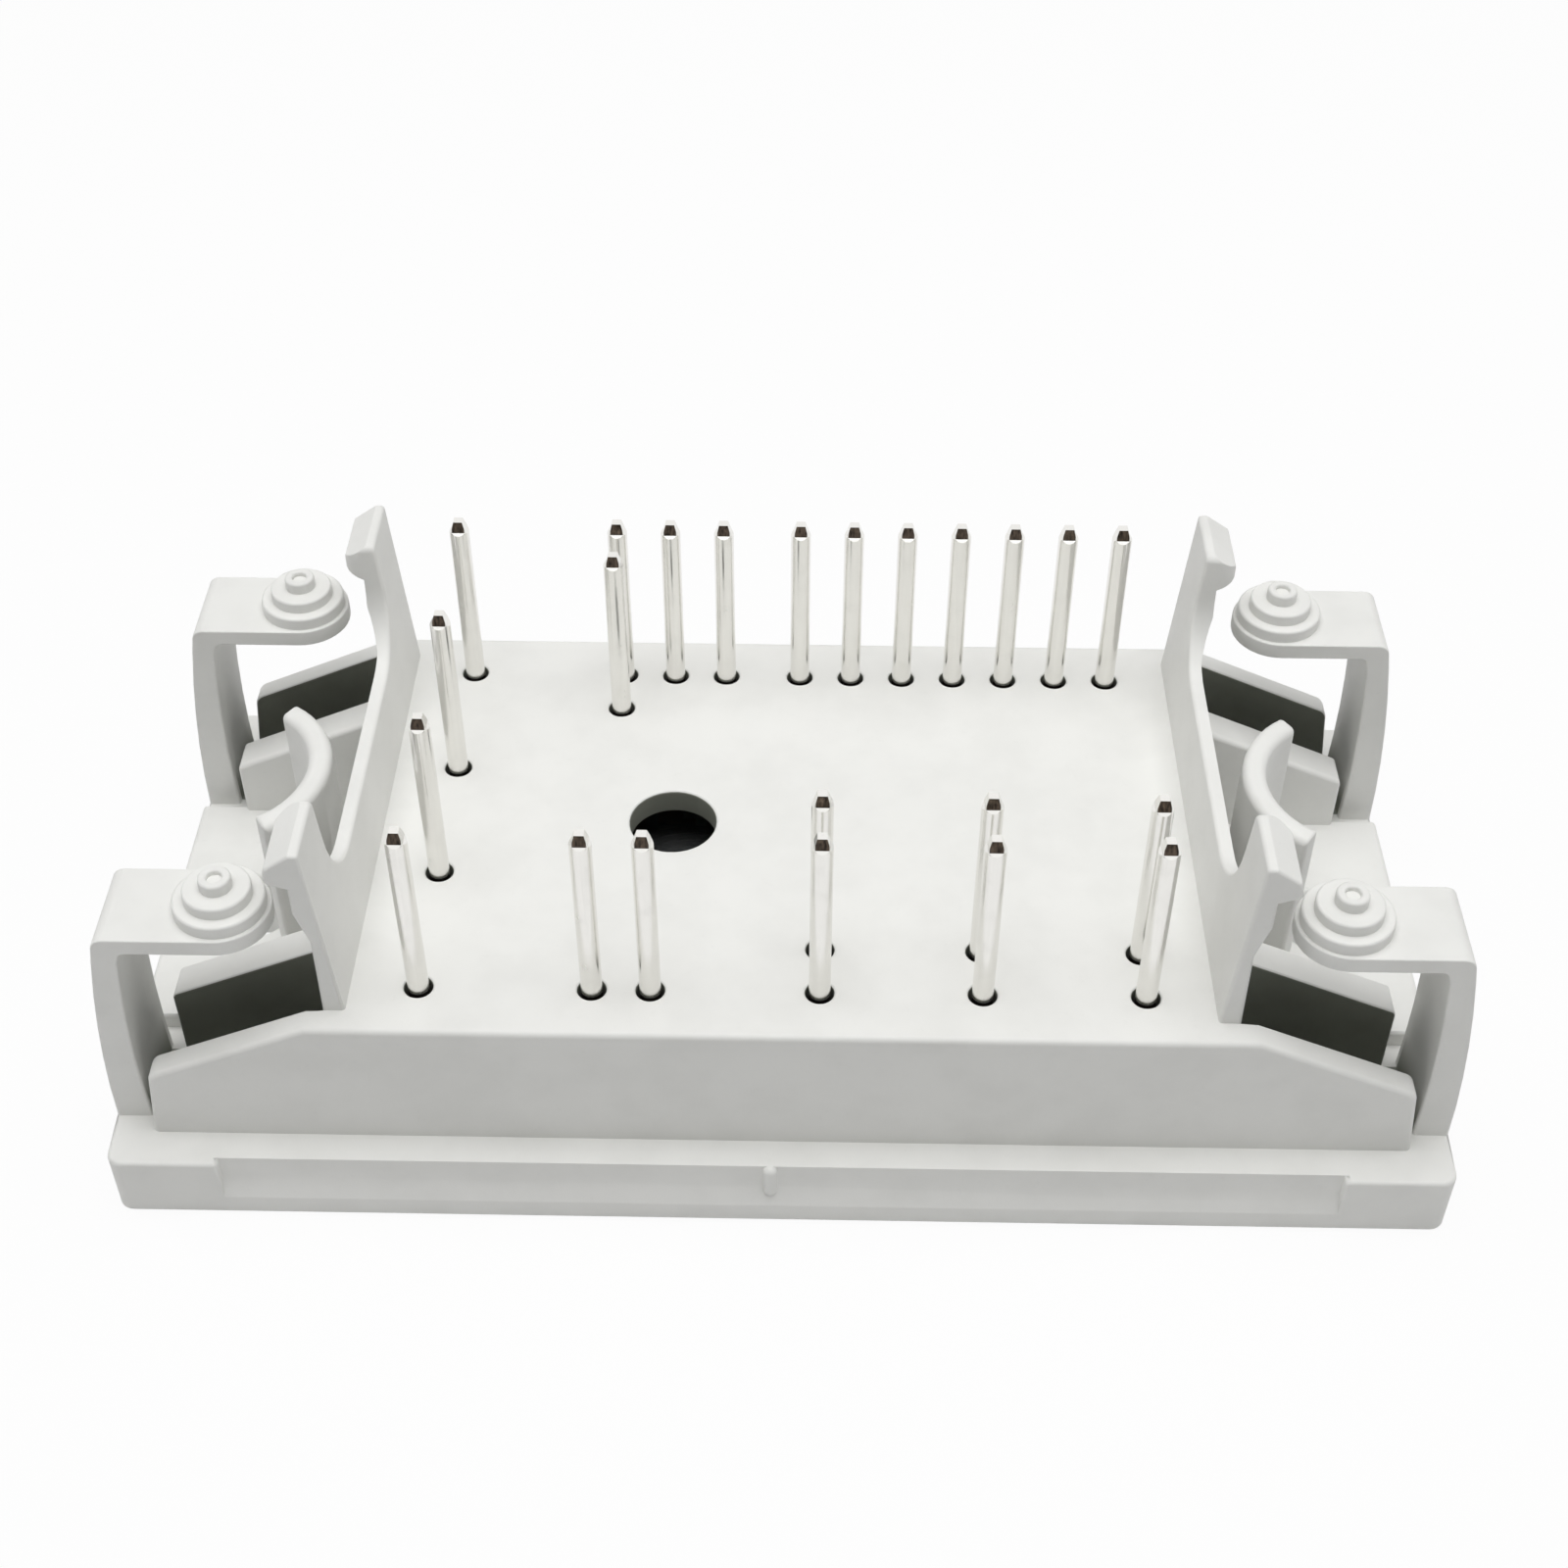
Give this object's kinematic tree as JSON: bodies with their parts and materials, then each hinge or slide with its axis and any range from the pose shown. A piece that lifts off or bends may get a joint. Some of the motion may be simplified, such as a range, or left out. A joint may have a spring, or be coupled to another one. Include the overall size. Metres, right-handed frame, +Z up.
{
  "type": "bridge rectifier module",
  "caption": "Low rectangular power module: pale moulded housing with upright round solder pins, snap-hook side walls, stand-off corner posts, end screw slots and a flat copper heat-sink base.",
  "frame": {"origin": "centre of the heat sink plane, on the underside of the bottom copper", "axes": "+X along the length, to the right when the filling hole is left of the centre; +Y across the width, towards the long row of pins; +Z up along the pins"},
  "size_m": [0.0634, 0.032, 0.021],
  "materials": {
    "housing_plastic": "fine matt moulded surface, pale warm grey",
    "ceramic_white": "smooth white sintered plate",
    "copper": "bonded copper, lightly brushed",
    "adhesive": "cured dark sealant",
    "gel": "clear soft silicone",
    "tinned_wire": "bright tin plating",
    "silicon": "polished dark semiconductor chip",
    "thermistor_ceramic": "dark sintered chip",
    "ribbon_aluminium": "rolled ribbon"
  },
  "bodies": {
    "root": {"housing": "housing_plastic", "ceramic_substrate": "ceramic_white", "heat_sink_copper": "copper", "circuit_tracks": "copper", "adhesive_bead": "adhesive", "silicone_gel": "gel", "pin_01": "tinned_wire", "pin_02": "tinned_wire", "pin_03": "tinned_wire", "pin_04": "tinned_wire", "pin_05": "tinned_wire", "pin_06": "tinned_wire", "pin_07": "tinned_wire", "pin_08": "tinned_wire", "pin_09": "tinned_wire", "pin_10": "tinned_wire", "pin_11": "tinned_wire", "pin_12": "tinned_wire", "pin_13": "tinned_wire", "pin_14": "tinned_wire", "pin_15": "tinned_wire", "pin_16": "tinned_wire", "pin_17": "tinned_wire", "pin_18": "tinned_wire", "pin_19": "tinned_wire", "pin_20": "tinned_wire", "pin_21": "tinned_wire", "pin_22": "tinned_wire", "pin_23": "tinned_wire", "rectifier_diode_1": "silicon", "rectifier_diode_2": "silicon", "rectifier_diode_3": "silicon", "rectifier_diode_4": "silicon", "rectifier_diode_5": "silicon", "rectifier_diode_6": "silicon", "output_switch_1": "silicon", "output_switch_2": "silicon", "output_switch_3": "silicon", "output_switch_4": "silicon", "output_switch_5": "silicon", "output_switch_6": "silicon", "freewheel_diode_1": "silicon", "freewheel_diode_2": "silicon", "freewheel_diode_3": "silicon", "freewheel_diode_4": "silicon", "freewheel_diode_5": "silicon", "freewheel_diode_6": "silicon", "brake_switch": "silicon", "brake_diode": "silicon", "thermistor": "thermistor_ceramic", "bond_ribbons": "ribbon_aluminium"}
  },
  "joints": []
}
